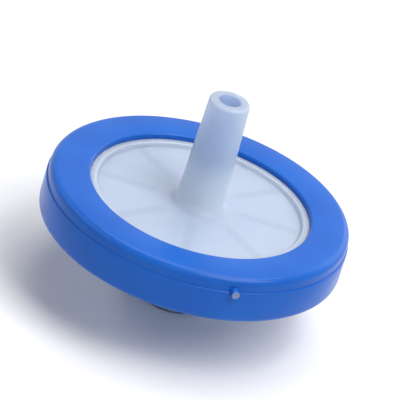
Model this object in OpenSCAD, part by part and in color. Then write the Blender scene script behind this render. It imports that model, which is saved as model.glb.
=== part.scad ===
// Syringe filter with a 25 mm membrane.
// Two moulded housings clamp the membrane between them, and a bonding ring moulded
// over their flanges holds and seals the stack for good.
// The filter stands on the mouth of its inlet hub. The origin is the centre of that
// mouth, and +Z runs with the flow, from the inlet to the outlet.
// All lengths are in millimetres.

/* [Membrane] */
// Diameter of the membrane disc
membrane_d = 25; // [22:0.5:30]
// Thickness of the membrane disc
membrane_t = 0.2; // [0.1:0.05:0.4]
// Width of the annulus in which the housings clamp the membrane
clamp_w = 1.3; // [0.8:0.1:1.8]

/* [Bonding ring] */
// Height of the ring over both faces
ring_h = 4.8; // [4.5:0.1:6]
// Wall of the ring outside the housing flanges
ring_wall = 1.6; // [1.2:0.1:2.4]
// Thickness of the ring's two lips over the flanges
lip_t = 1; // [0.8:0.1:1.2]
// Width of the ring's face on the inlet side
inlet_lip_w = 4.7; // [4:0.1:5.2]
// Width of the ring's face on the outlet side
outlet_lip_w = 4.05; // [3.4:0.05:4.6]
// Rounding of the ring's two outer edges
ring_edge_r = 0.7; // [0.3:0.1:1]
// Rounding of the ring's two window edges
window_edge_r = 0.2; // [0.1:0.05:0.3]
// Distance of the mould's parting step from the outlet face
parting_drop = 1.35; // [1.2:0.05:2]
// Depth of the parting step in the side wall
parting_step = 0.15; // [0.1:0.05:0.3]
// Diameter of the gate stub where it leaves the side wall
gate_d = 1; // [0.6:0.1:1.4]
// Diameter of the gate stub's cut end
gate_end_d = 0.8; // [0.4:0.1:1.2]
// Length of the gate stub beyond the side wall
gate_h = 0.5; // [0.2:0.1:1]
// Direction of the gate stub round the axis, in degrees from the first lug
gate_angle = -68; // [-180:1:180]

/* [Housing plates] */
// Depth of the inlet plate's face below the ring's face
inlet_recess = 0.5; // [0.3:0.1:0.8]
// Thickness of the inlet plate
inlet_plate_t = 1.2; // [1:0.1:1.3]
// Height of the inlet chamber, between the plate and the membrane
chamber_h = 0.4; // [0.3:0.05:0.6]
// Width of the bead along the edge of the inlet plate
inlet_bead_w = 0.6; // [0.4:0.05:1]
// Height of the bead above the inlet plate
inlet_bead_h = 0.25; // [0.2:0.05:0.3]
// Depth of the outlet plate's face below the ring's face
outlet_recess = 0.9; // [0.7:0.1:1]
// Width of the bead along the edge of the outlet plate
outlet_bead_w = 0.75; // [0.5:0.05:1]
// Height of the bead above the outlet plate
outlet_bead_h = 0.4; // [0.2:0.05:0.6]
// Wall of the inlet housing's rim, round the membrane
rim_wall = 0.8; // [0.6:0.1:1.2]
// Height of the rim above the membrane's seat
rim_h = 0.7; // [0.5:0.05:0.9]

/* [Flow channels] */
// Number of radial ribs on the inlet plate
rib_count = 24; // [12:2:28]
// Width of a rib
rib_w = 0.4; // [0.3:0.05:0.45]
// Distance of the ribs' inner ends from the axis
rib_start_r = 3; // [2.8:0.1:5]
// Width of the ring channel between the ribs and the membrane's seat
feed_w = 0.7; // [0.4:0.1:1]
// Number of radial channels in the outlet plate
channel_count = 8; // [4:1:12]
// Width of a radial channel
channel_w = 0.7; // [0.5:0.05:0.9]
// Depth of a radial channel
channel_depth = 0.5; // [0.4:0.05:0.7]
// Number of ring grooves in the outlet plate
groove_count = 6; // [3:1:7]
// Distance from one ring groove to the next
groove_pitch = 1.35; // [1.2:0.05:1.4]
// Width of a ring groove
groove_w = 0.6; // [0.4:0.05:0.8]
// Depth of a ring groove
groove_depth = 0.3; // [0.2:0.05:0.35]

/* [Inlet luer lock] */
// Height of the hub above the ring's inlet face
hub_h = 7; // [6.8:0.1:9]
// Outer diameter of the hub at its mouth
hub_d = 6.1; // [5.6:0.1:6.6]
// Draft of the hub's outside, in degrees
hub_draft = 1.2; // [0:0.1:2]
// Diameter of the luer socket at its mouth
socket_d = 4.3; // [4.27:0.005:4.315]
// Depth of the tapered socket
socket_depth = 7.5; // [7:0.1:7.8]
// Width across the two lugs
lug_span = 7.8; // [7.3:0.1:8]
// Width of a lug round the hub
lug_w = 3.5; // [2.5:0.1:4]
// Height of a lug at its crest
lug_crest_h = 1; // [0.6:0.1:1.4]
// Height of a lug at its foot on the hub
lug_foot_h = 2.3; // [1.6:0.1:3]

/* [Outlet luer slip] */
// Height of the outlet tip above the ring's outlet face
outlet_h = 10.6; // [9:0.1:12]
// Outer diameter of the tip
tip_d = 4; // [3.925:0.005:4.027]
// Diameter of the lumen
lumen_d = 2.1; // [1.6:0.1:2.6]
// Rounding of the tip's outer edge
tip_edge_r = 0.25; // [0.1:0.05:0.4]

/* [Shared details] */
// Taper of both luer cones, as change in diameter over length
luer_taper = 0.06; // [0.05:0.01:0.07]
// Fillet at the foot of the hub and of the outlet tube
root_fillet_r = 0.8; // [0.4:0.1:1.2]
// Rounding of small edges
small_edge_r = 0.15; // [0.1:0.05:0.2]
// Clearance between the membrane's edge and the rim
membrane_gap = 0.1; // [0.05:0.05:0.2]
// Clearance between the outlet housing's spigot and the rim
spigot_gap = 0.05; // [0.02:0.01:0.09]

/* [Hidden] */
$fn = 96;

RING_BLUE = [0.20, 0.41, 0.85];
NATURAL_PP = [0.80, 0.85, 0.92];
MEMBRANE_WHITE = [0.96, 0.96, 0.95];

// How far a rib, lug or stub reaches into the piece that carries it
embed = 0.2;
// How far a cut reaches past the face that it opens
overcut = 0.1;
// Straight pieces in each quarter turn of a rounded edge
arc_steps = 5;

// Levels, from the inlet mouth at z = 0 upwards
ring_bottom_z = hub_h;
ring_top_z = ring_bottom_z + ring_h;
flange_bottom_z = ring_bottom_z + lip_t;
flange_top_z = ring_top_z - lip_t;
parting_z = ring_top_z - parting_drop;
inlet_face_z = ring_bottom_z + inlet_recess;
inlet_floor_z = inlet_face_z + inlet_plate_t;
membrane_z = inlet_floor_z + chamber_h;
bed_z = membrane_z + membrane_t;
rim_top_z = membrane_z + rim_h;
outlet_face_z = ring_top_z - outlet_recess;
inlet_bead_z = inlet_face_z - inlet_bead_h;
outlet_bead_z = outlet_face_z + outlet_bead_h;
tip_z = ring_top_z + outlet_h;

// Radii, from the membrane outwards
membrane_r = membrane_d / 2;
seat_r = membrane_r - clamp_w;
rim_inner_r = membrane_r + membrane_gap;
spigot_r = rim_inner_r - spigot_gap;
flange_r = rim_inner_r + rim_wall;
ring_r = flange_r + ring_wall;
inlet_window_r = ring_r - inlet_lip_w;
outlet_window_r = ring_r - outlet_lip_w;
inlet_bead_r = inlet_window_r - inlet_bead_w;
outlet_bead_r = outlet_window_r - outlet_bead_w;
rib_end_r = seat_r - feed_w;

// Radii of the two luers
socket_r = socket_d / 2;
throat_r = socket_r - luer_taper * socket_depth / 2;
hub_r = hub_d / 2;
hub_root_r = hub_r + (inlet_face_z - root_fillet_r) * tan(hub_draft);
lug_r = lug_span / 2;
lumen_r = lumen_d / 2;
tip_r = tip_d / 2;
tube_root_z = outlet_face_z + root_fillet_r;
tube_root_r = tip_r + luer_taper * (tip_z - tube_root_z) / 2;
first_groove_r = seat_r - groove_w;

// Points of an arc in a section, from angle a0 to angle a1
function arc(r, z, radius, a0, a1) = [
    for (i = [0 : arc_steps])
        let (a = a0 + (a1 - a0) * i / arc_steps)
        [r + radius * cos(a), z + radius * sin(a)]
];

// Copies of the children, evenly spaced round the axis
module around(count) {
    for (i = [0 : count - 1])
        rotate([0, 0, i * 360 / count])
            children();
}

// A bar of rectangular section that lies along +X
module radial_bar(start_r, end_r, width, z0, z1) {
    translate([start_r, -width / 2, z0])
        cube([end_r - start_r, width, z1 - z0]);
}

// Half section of the inlet housing: hub with its socket, beaded plate, seat and rim
function inlet_section() = concat(
    [[socket_r, 0]],
    arc(hub_r - small_edge_r, small_edge_r, small_edge_r, -90, 0),
    arc(hub_root_r + root_fillet_r, inlet_face_z - root_fillet_r, root_fillet_r, 180, 90),
    [[inlet_bead_r - small_edge_r, inlet_face_z]],
    arc(inlet_bead_r + small_edge_r, inlet_bead_z + small_edge_r, small_edge_r, 180, 270),
    arc(inlet_window_r - small_edge_r, inlet_bead_z + small_edge_r, small_edge_r, -90, 0),
    [
        [inlet_window_r, flange_bottom_z],
        [flange_r, flange_bottom_z],
        [flange_r, rim_top_z],
        [rim_inner_r, rim_top_z],
        [rim_inner_r, membrane_z],
        [seat_r, membrane_z],
        [seat_r, inlet_floor_z],
        [throat_r, inlet_floor_z],
        [throat_r, socket_depth],
    ]
);

// Half section of a lug: a crest at the mouth and a sloping underside
function lug_section() = [
    [hub_r - embed, 0],
    [lug_r, 0],
    [lug_r, lug_crest_h],
    [hub_r, lug_foot_h],
    [hub_r - embed, lug_foot_h],
];

// The two lugs of the luer lock, cut with parallel sides from one collar
module luer_lugs() {
    intersection() {
        rotate_extrude()
            polygon(lug_section());
        translate([-lug_span, -lug_w / 2, 0])
            cube([2 * lug_span, lug_w, lug_foot_h]);
    }
}

// Ribs that hold the membrane off the inlet plate and spread the flow
module inlet_ribs() {
    around(rib_count)
        radial_bar(rib_start_r, rib_end_r, rib_w, inlet_floor_z - embed, membrane_z);
}

module inlet_housing() {
    color(NATURAL_PP) {
        rotate_extrude()
            polygon(inlet_section());
        luer_lugs();
        inlet_ribs();
    }
}

module membrane() {
    color(MEMBRANE_WHITE)
        translate([0, 0, membrane_z])
            cylinder(r = membrane_r, h = membrane_t);
}

// Half section of the outlet housing: bed, spigot, flange, beaded plate and luer tube
function outlet_section() = concat(
    [
        [lumen_r, bed_z],
        [spigot_r, bed_z],
        [spigot_r, rim_top_z],
        [flange_r, rim_top_z],
        [flange_r, flange_top_z],
        [outlet_window_r, flange_top_z],
    ],
    arc(outlet_window_r - small_edge_r, outlet_bead_z - small_edge_r, small_edge_r, 0, 90),
    arc(outlet_bead_r + small_edge_r, outlet_bead_z - small_edge_r, small_edge_r, 90, 180),
    [[outlet_bead_r - small_edge_r, outlet_face_z]],
    arc(tube_root_r + root_fillet_r, tube_root_z, root_fillet_r, -90, -180),
    arc(tip_r - tip_edge_r, tip_z - tip_edge_r, tip_edge_r, 0, 90),
    [[lumen_r, tip_z]]
);

// Ring grooves of the membrane's bed, counted inwards from the seat
module ring_grooves() {
    for (i = [0 : groove_count - 1])
        rotate_extrude()
            translate([first_groove_r - i * groove_pitch, bed_z - overcut])
                square([groove_w, groove_depth + overcut]);
}

// Radial channels that lead from the ring grooves to the lumen
module radial_channels() {
    around(channel_count)
        radial_bar(0, seat_r, channel_w, bed_z - overcut, bed_z + channel_depth);
}

module outlet_housing() {
    color(NATURAL_PP)
        difference() {
            rotate_extrude()
                polygon(outlet_section());
            ring_grooves();
            radial_channels();
        }
}

// Half section of the bonding ring, moulded round the flanges of both housings
function ring_section() = concat(
    arc(inlet_window_r + window_edge_r, ring_bottom_z + window_edge_r, window_edge_r, 180, 270),
    arc(ring_r - ring_edge_r, ring_bottom_z + ring_edge_r, ring_edge_r, -90, 0),
    arc(ring_r - parting_step, parting_z - parting_step, parting_step, 0, 90),
    arc(ring_r - parting_step - ring_edge_r, ring_top_z - ring_edge_r, ring_edge_r, 0, 90),
    arc(outlet_window_r + window_edge_r, ring_top_z - window_edge_r, window_edge_r, 90, 180),
    [
        [outlet_window_r, flange_top_z],
        [flange_r, flange_top_z],
        [flange_r, flange_bottom_z],
        [inlet_window_r, flange_bottom_z],
    ]
);

// Stub of the ring's gate, left on the side wall at the mould's parting step
module gate_stub() {
    rotate([0, 0, gate_angle])
        translate([ring_r - embed, 0, parting_z])
            rotate([0, 90, 0])
                cylinder(d1 = gate_d, d2 = gate_end_d, h = embed + gate_h);
}

module bonding_ring() {
    color(RING_BLUE) {
        rotate_extrude()
            polygon(ring_section());
        gate_stub();
    }
}

inlet_housing();
membrane();
outlet_housing();
bonding_ring();
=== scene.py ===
import math

import bpy
from mathutils import Matrix, Vector


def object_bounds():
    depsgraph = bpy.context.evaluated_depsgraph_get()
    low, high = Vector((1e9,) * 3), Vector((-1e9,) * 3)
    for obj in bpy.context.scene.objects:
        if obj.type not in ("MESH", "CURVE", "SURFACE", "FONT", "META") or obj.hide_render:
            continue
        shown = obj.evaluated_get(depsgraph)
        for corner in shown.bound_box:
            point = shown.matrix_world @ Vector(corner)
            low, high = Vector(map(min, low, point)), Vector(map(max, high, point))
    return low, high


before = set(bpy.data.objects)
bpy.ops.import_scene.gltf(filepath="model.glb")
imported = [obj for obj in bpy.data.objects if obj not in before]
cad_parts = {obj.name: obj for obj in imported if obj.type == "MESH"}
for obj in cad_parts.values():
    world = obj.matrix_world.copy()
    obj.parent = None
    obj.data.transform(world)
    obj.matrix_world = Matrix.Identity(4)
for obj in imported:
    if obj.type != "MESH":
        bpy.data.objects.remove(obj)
cad_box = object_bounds()

MM = 0.001

# The photograph's view of the filter: the camera's elevation and roll, in degrees
VIEW_ELEVATION = 28.7
VIEW_ROLL = 17.0

# A long lens, because the photograph shows hardly any perspective. The camera stands at this
# share of the distance at which the part's bounding sphere would just fill the frame.
LENS_MM = 400
DISTANCE_SHARE = 0.80

# Area lamps: place and size in metres, power in watts
LAMPS = {
    "key": ((0.13, -0.08, 0.24), (0.16, 0.20), 0.60),
    "top": ((0.02, 0.08, 0.28), (0.24, 0.18), 0.46),
    "back": ((0.14, 0.20, 0.12), (0.20, 0.14), 0.12),
    "left": ((-0.20, -0.02, 0.15), (0.24, 0.03), 0.13),
    "front": ((0.03, -0.24, 0.17), (0.20, 0.14), 0.04),
}

# The world's strength as a light; as a background it is 1, which is white
WORLD_LIGHT = 0.22

# Half the floor's side in metres, and where it fades into the background, in mm from the axis
FLOOR_HALF = 0.6
FLOOR_FADE = (16, 90)

# Linear colours
RING_BLUE = (0.008, 0.112, 0.500, 1)
RING_BLUE_DEEP = (0.006, 0.096, 0.455, 1)
GATE_PALE = (0.185, 0.235, 0.410, 1)
TUBE_CLEAR = (0.610, 0.750, 1.000, 1)
TUBE_CLOUDED = (0.585, 0.725, 0.985, 1)
# Painted glow: the tube's foot is painted lighter, standing in for light from the white plate below
TUBE_FOOT_PAINTED_GLOW = (0.680, 0.785, 1.000, 1)
# Painted shade inside the bore, where the deep lumen looks dark
PAINTED_BORE_SHADE = (0.410, 0.500, 0.760, 1)
PLATE_CLEAR = (0.465, 0.545, 0.710, 1)
PLATE_CLOUDED = (0.442, 0.522, 0.690, 1)
# Painted shade along the outlet's flow channels and painted light along the inlet's ribs, which lie
# behind the translucent plate
PAINTED_CHANNEL_SHADE = (0.405, 0.485, 0.650, 1)
PAINTED_RIB_LIGHT = (0.555, 0.625, 0.765, 1)
MEMBRANE_WHITE = (0.870, 0.880, 0.880, 1)
MEMBRANE_GREY = (0.800, 0.812, 0.820, 1)
FLOOR_WHITE = (0.86, 0.86, 0.87, 1)

# What sets the housings apart: the height of the plate's face, the side on which the tube or hub
# stands, up (1) or down (-1), the bore's radius at its mouth, and the painted lines on the plate:
# painted light over the inlet's ribs and painted shade over the outlet's channels, which lie behind it
INLET = {
    "face_mm": 7.5,
    "outward": -1,
    "bore_mm": 2.15,
    "line_count": 24,
    "line_half_mm": 0.12,
    "painted_line_tone": PAINTED_RIB_LIGHT,
}
OUTLET = {
    "face_mm": 10.9,
    "outward": 1,
    "bore_mm": 1.05,
    "line_count": 8,
    "line_half_mm": 0.20,
    "painted_line_tone": PAINTED_CHANNEL_SHADE,
}

# Where one finish of a housing runs smoothly into the next, in mm from the plate's face
FACE_TO_TUBE = (0.1, 0.7)
# FOOT_TO_CLEAR: over this span the painted glow at the tube's foot fades out and the tube grows clearer
FOOT_TO_CLEAR = (0, 8)

# The same in mm from the axis, and the soft edges beside a painted line and round the painted shade in
# a bore
TUBE_TO_PLATE = (4.5, 6.0)
LINES_START = (3.6, 4.8)
LINES_STOP = (9.5, 10.3)
LINE_EDGE = 0.60
BORE_EDGE = 0.2

# The gate stub's end, in mm: its pale mark's radius with a soft edge, and how far the points of
# its rim may differ in their distance from the axis
TIP_MARK = (0.32, 0.45)
TIP_SLACK = 0.05

# Nearly all values of Blender's noise lie between these
NOISE_SPAN = (0.25, 0.75)

# Edges sharper than this stay sharp, and points closer than this are welded for the shading
CREASE_DEG = 30
WELD_MM = 0.0005


class Graph:
    """A material's node tree, with the few calls that the materials below share."""

    def __init__(self, name):
        self.material = bpy.data.materials.new(name)
        self.material.use_nodes = True
        self.nodes = self.material.node_tree.nodes
        self.links = self.material.node_tree.links
        self.shader = self.nodes["Principled BSDF"]
        self.place = self.nodes.new("ShaderNodeTexCoord").outputs["Object"]

    def fixed(self, **values):
        """Uniform values, each on the shader's own socket."""
        for name, value in values.items():
            self.shader.inputs[name.replace("_", " ")].default_value = value

    def into(self, name, socket):
        """Leads a socket into the shader's input of that name."""
        self.links.new(socket, self.shader.inputs[name])

    def noise(self, grain_mm, detail, rough=0.55):
        """Noise whose grains are about grain_mm across."""
        tex = self.nodes.new("ShaderNodeTexNoise")
        tex.inputs["Scale"].default_value = 1 / (grain_mm * MM)
        tex.inputs["Detail"].default_value = detail
        tex.inputs["Roughness"].default_value = rough
        self.links.new(self.place, tex.inputs["Vector"])
        return tex.outputs["Fac"]

    def between(self, factor, low, high, start, end):
        """A number that runs smoothly from low to high as factor runs from start to end."""
        ranged = self.nodes.new("ShaderNodeMapRange")
        ranged.interpolation_type = "SMOOTHSTEP"
        ranged.inputs["From Min"].default_value = start
        ranged.inputs["From Max"].default_value = end
        ranged.inputs["To Min"].default_value = low
        ranged.inputs["To Max"].default_value = high
        self.links.new(factor, ranged.inputs["Value"])
        return ranged.outputs["Result"]

    def varied(self, low, high, grain_mm, detail):
        """A number that wanders between low and high, in grains about grain_mm across."""
        return self.between(self.noise(grain_mm, detail), low, high, *NOISE_SPAN)

    def beyond(self, distance, start_mm, end_mm):
        """0 where a distance is under start_mm, rising smoothly to 1 at end_mm."""
        return self.between(distance, 0, 1, start_mm * MM, end_mm * MM)

    def within(self, distance, start_mm, end_mm):
        """1 where a distance is under start_mm, falling smoothly to 0 at end_mm."""
        return self.between(distance, 1, 0, start_mm * MM, end_mm * MM)

    def along(self, axis):
        """The place along X, Y or Z."""
        split = self.nodes.new("ShaderNodeSeparateXYZ")
        self.links.new(self.place, split.inputs["Vector"])
        return split.outputs[axis]

    def maths(self, operation, first, second):
        """One step of arithmetic on two sockets, or on a socket and a number."""
        step = self.nodes.new("ShaderNodeMath")
        step.operation = operation
        for socket, value in zip(step.inputs, (first, second)):
            self.fill(socket, value)
        return step.outputs["Value"]

    def vector_maths(self, operation, first, second=(0, 0, 0)):
        """One step of arithmetic on a vector socket and a fixed vector, with both its outputs."""
        step = self.nodes.new("ShaderNodeVectorMath")
        step.operation = operation
        self.links.new(first, step.inputs[0])
        step.inputs[1].default_value = second
        return step.outputs

    def mixed(self, factor, first, second):
        """Two colours mixed by factor; either may be a socket."""
        mix = self.nodes.new("ShaderNodeMix")
        mix.data_type = "RGBA"
        self.links.new(factor, mix.inputs["Factor"])
        self.fill(mix.inputs["A"], first)
        self.fill(mix.inputs["B"], second)
        return mix.outputs["Result"]

    def fill(self, socket, value):
        """Gives a node's input another socket to follow, or a value of its own."""
        if hasattr(value, "is_linked"):
            self.links.new(value, socket)
        else:
            socket.default_value = value

    def relief(self, height, depth_mm):
        """Bump that is depth_mm deep."""
        bump = self.nodes.new("ShaderNodeBump")
        bump.inputs["Strength"].default_value = 1.0
        bump.inputs["Distance"].default_value = depth_mm * MM
        self.links.new(height, bump.inputs["Height"])
        return bump.outputs["Normal"]


def from_axis(graph):
    """Distance from the filter's axis."""
    flat = graph.vector_maths("MULTIPLY", graph.place, (1, 1, 0))["Vector"]
    return graph.vector_maths("LENGTH", flat)["Value"]


def radial_lines(graph, count, half_mm):
    """1 along the lines that run out from the axis, count of them, and 0 between them."""
    angle = graph.maths("ARCTAN2", graph.along("Y"), graph.along("X"))
    off_line = graph.maths("PINGPONG", angle, math.pi / count)
    across = graph.maths("MULTIPLY", off_line, from_axis(graph))
    return graph.within(across, half_mm, half_mm + LINE_EDGE)


def gate_tip(graph):
    """1 on the end of the gate stub, which is what lies farthest from the axis in the ring."""
    ring = [vertex.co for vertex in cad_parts["bonding_ring"].data.vertices]
    reach = max(math.hypot(co.x, co.y) for co in ring)
    rim = [co for co in ring if math.hypot(co.x, co.y) > reach - TIP_SLACK * MM]
    centre = sum(rim, Vector()) / len(rim)
    distance = graph.vector_maths("DISTANCE", graph.place, centre)["Value"]
    return graph.within(distance, *TIP_MARK)


def ring_material():
    """Blue moulded plastic with a thin glossier coat, faintly wavy, and a pale end on the gate stub."""
    graph = Graph("ring_blue_plastic")
    graph.fixed(
        IOR=1.49,
        Specular_IOR_Level=0.10,
        Coat_Weight=0.30,
        Coat_IOR=1.35,
        Coat_Roughness=0.12,
    )
    cloud = graph.varied(0, 1, grain_mm=6.0, detail=1)
    shade = graph.mixed(cloud, RING_BLUE, RING_BLUE_DEEP)
    graph.into("Base Color", graph.mixed(gate_tip(graph), shade, GATE_PALE))
    graph.into("Roughness", graph.varied(0.29, 0.38, grain_mm=3.5, detail=2))
    graph.into("Normal", graph.relief(graph.noise(grain_mm=3.0, detail=1), depth_mm=0.008))
    return graph.material


def housing_material(name, face_mm, outward, bore_mm, line_count, line_half_mm, painted_line_tone):
    """Natural polypropylene: a clearer tube or hub, and a plate that has the white membrane behind it.

    The bore has painted shade inside, the plate has painted shade along the flow channels and painted
    light along the ribs that lie behind it, and the foot of the tube has a painted glow that stands for
    light from the white plate below.
    """
    graph = Graph(name)
    graph.fixed(
        IOR=1.49,
        Subsurface_Weight=0.8,
        Subsurface_Radius=(1.0, 1.05, 1.2),
        Subsurface_Scale=3.0 * MM,
    )
    cloud = graph.varied(0, 1, grain_mm=5.0, detail=1)
    reach = from_axis(graph)
    height = graph.maths("SUBTRACT", graph.along("Z"), face_mm * MM)
    stands = graph.maths("MULTIPLY", height, outward)
    away = graph.beyond(stands, *FOOT_TO_CLEAR)
    face = graph.within(stands, *FACE_TO_TUBE)
    plate = graph.maths("MAXIMUM", face, graph.beyond(reach, *TUBE_TO_PLATE))
    # The tube's foot is painted lighter towards the plate: a painted glow of the plate's light
    body = graph.mixed(
        plate,
        graph.mixed(away, TUBE_FOOT_PAINTED_GLOW, graph.mixed(cloud, TUBE_CLEAR, TUBE_CLOUDED)),
        graph.mixed(cloud, PLATE_CLEAR, PLATE_CLOUDED),
    )
    start = graph.beyond(reach, *LINES_START)
    stop = graph.within(reach, *LINES_STOP)
    lines = radial_lines(graph, line_count, line_half_mm)
    shown = graph.maths("MULTIPLY", lines, graph.maths("MULTIPLY", start, stop))
    # Painted lines on the plate: painted shade over the channels, painted light over the ribs
    lined = graph.mixed(shown, body, painted_line_tone)
    # Painted shade inside the bore
    bore = graph.within(reach, bore_mm, bore_mm + BORE_EDGE)
    graph.into("Base Color", graph.mixed(bore, lined, PAINTED_BORE_SHADE))
    clearness = graph.between(away, low=0.14, high=0.50, start=0.25, end=1)
    graph.into("Transmission Weight", clearness)
    graph.into("Roughness", graph.varied(0.29, 0.40, grain_mm=3.0, detail=2))
    graph.into("Normal", graph.relief(graph.noise(grain_mm=2.4, detail=1), depth_mm=0.005))
    return graph.material


def membrane_material():
    """White microporous film: matt, with a fine felted grain."""
    graph = Graph("membrane_film")
    graph.fixed(Specular_IOR_Level=0.2, Sheen_Weight=0.15, Sheen_Roughness=0.6)
    grain = graph.noise(grain_mm=0.6, detail=2, rough=0.6)
    felt = graph.between(grain, 0, 1, *NOISE_SPAN)
    graph.into("Base Color", graph.mixed(felt, MEMBRANE_WHITE, MEMBRANE_GREY))
    graph.into("Roughness", graph.varied(0.80, 0.95, grain_mm=1.5, detail=1))
    graph.into("Normal", graph.relief(grain, depth_mm=0.01))
    return graph.material


def smooth_by_angle(degrees):
    """Geometry nodes that shade smoothly across edges flatter than an angle."""
    group = bpy.data.node_groups.new(f"smooth_{degrees}", "GeometryNodeTree")
    group.interface.new_socket("Geometry", in_out="INPUT", socket_type="NodeSocketGeometry")
    group.interface.new_socket("Geometry", in_out="OUTPUT", socket_type="NodeSocketGeometry")
    add = group.nodes.new
    link = group.links.new
    start = add("NodeGroupInput")
    merge = add("GeometryNodeMergeByDistance")
    angle = add("GeometryNodeInputMeshEdgeAngle")
    flat = add("FunctionNodeCompare")
    faces = add("GeometryNodeSetShadeSmooth")
    edges = add("GeometryNodeSetShadeSmooth")
    end = add("NodeGroupOutput")
    merge.inputs["Distance"].default_value = WELD_MM * MM
    flat.operation = "LESS_THAN"
    flat.inputs["B"].default_value = math.radians(degrees)
    edges.domain = "EDGE"
    link(start.outputs["Geometry"], merge.inputs["Geometry"])
    link(merge.outputs["Geometry"], faces.inputs["Geometry"])
    link(faces.outputs["Geometry"], edges.inputs["Geometry"])
    link(angle.outputs["Unsigned Angle"], flat.inputs["A"])
    link(flat.outputs["Result"], edges.inputs["Shade Smooth"])
    link(edges.outputs["Geometry"], end.inputs["Geometry"])
    return group


def dress(node, material, shading):
    """Gives a CAD node its finish, and smooth shading that stops at its real edges."""
    node.data.materials.clear()
    node.data.materials.append(material)
    node.modifiers.new("shading", "NODES").node_group = shading


def dress_all():
    """Each CAD node in its own finish."""
    finishes = {
        "inlet_housing": housing_material("polypropylene_inlet", **INLET),
        "outlet_housing": housing_material("polypropylene_outlet", **OUTLET),
        "bonding_ring": ring_material(),
        "membrane": membrane_material(),
    }
    shading = smooth_by_angle(CREASE_DEG)
    for name, material in finishes.items():
        dress(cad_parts[name], material, shading)


def background_rays(tree):
    """1 for the rays in which a background shows: camera, glossy and transmission rays."""
    path = tree.nodes.new("ShaderNodeLightPath")
    shown = path.outputs["Is Camera Ray"]
    for kind in ("Is Glossy Ray", "Is Transmission Ray"):
        either = tree.nodes.new("ShaderNodeMath")
        either.operation = "MAXIMUM"
        tree.links.new(shown, either.inputs[0])
        tree.links.new(path.outputs[kind], either.inputs[1])
        shown = either.outputs["Value"]
    return shown


def floor_material():
    """Matt near the object, blending into the white background away from it."""
    graph = Graph("floor_white")
    graph.fixed(Base_Color=FLOOR_WHITE, Roughness=0.9, Specular_IOR_Level=0.2)
    white = graph.nodes.new("ShaderNodeEmission")
    blend = graph.nodes.new("ShaderNodeMixShader")
    distant = graph.beyond(from_axis(graph), *FLOOR_FADE)
    rays = background_rays(graph.material.node_tree)
    link = graph.links.new
    link(graph.maths("MULTIPLY", distant, rays), blend.inputs["Fac"])
    link(graph.shader.outputs["BSDF"], blend.inputs[1])
    link(white.outputs["Emission"], blend.inputs[2])
    link(blend.outputs["Shader"], graph.nodes["Material Output"].inputs["Surface"])
    return graph.material


def make_floor():
    """A plain pale floor that keeps the object's shadow."""
    half = FLOOR_HALF
    corners = [(-half, -half, 0), (half, -half, 0), (half, half, 0), (-half, half, 0)]
    mesh = bpy.data.meshes.new("floor")
    mesh.from_pydata(corners, [], [(0, 1, 2, 3)])
    mesh.materials.append(floor_material())
    floor = bpy.data.objects.new("floor", mesh)
    bpy.context.scene.collection.objects.link(floor)


def make_world():
    """Even, dim studio light, and a white background past the floor."""
    world = bpy.data.worlds.new("studio")
    bpy.context.scene.world = world
    world.use_nodes = True
    tree = world.node_tree
    background = tree.nodes["Background"]
    background.inputs["Color"].default_value = (1, 1, 1, 1)
    strength = tree.nodes.new("ShaderNodeMapRange")
    strength.inputs["To Min"].default_value = WORLD_LIGHT
    strength.inputs["To Max"].default_value = 1.0
    tree.links.new(background_rays(tree), strength.inputs["Value"])
    tree.links.new(strength.outputs["Result"], background.inputs["Strength"])


def middle():
    """The middle of the part's box."""
    lo, hi = cad_box
    return (lo + hi) / 2


def make_lamp(name, place, size, power):
    """A soft area lamp aimed at the object's middle."""
    lamp = bpy.data.lights.new(name, "AREA")
    lamp.shape = "RECTANGLE"
    lamp.size, lamp.size_y = size
    lamp.energy = power
    holder = bpy.data.objects.new(name, lamp)
    bpy.context.scene.collection.objects.link(holder)
    holder.location = place
    aim = middle() - Vector(place)
    holder.rotation_euler = aim.to_track_quat("-Z", "Y").to_euler()


def make_camera():
    """The photograph's view: from slightly above, with the outlet tube leaning to the right."""
    data = bpy.data.cameras.new("camera")
    data.lens = LENS_MM
    data.clip_start = 0.01
    data.clip_end = 10
    camera = bpy.data.objects.new("camera", data)
    bpy.context.scene.collection.objects.link(camera)
    elevation = math.radians(VIEW_ELEVATION)
    back = Vector((0, -math.cos(elevation), math.sin(elevation)))
    lo, hi = cad_box
    radius = (hi - lo).length / 2
    half_angle = math.atan(data.sensor_width / 2 / data.lens)
    camera.location = middle() + back * (radius / math.tan(half_angle) * DISTANCE_SHARE)
    facing = (-back).to_track_quat("-Z", "Y").to_matrix().to_4x4()
    roll = Matrix.Rotation(math.radians(VIEW_ROLL), 4, "Z")
    camera.matrix_world = Matrix.Translation(camera.location) @ facing @ roll
    bpy.context.scene.camera = camera


def main():
    dress_all()
    make_floor()
    make_world()
    for name, (place, size, power) in LAMPS.items():
        make_lamp(name, place, size, power)
    make_camera()
    bpy.context.scene.view_settings.view_transform = "Standard"


main()
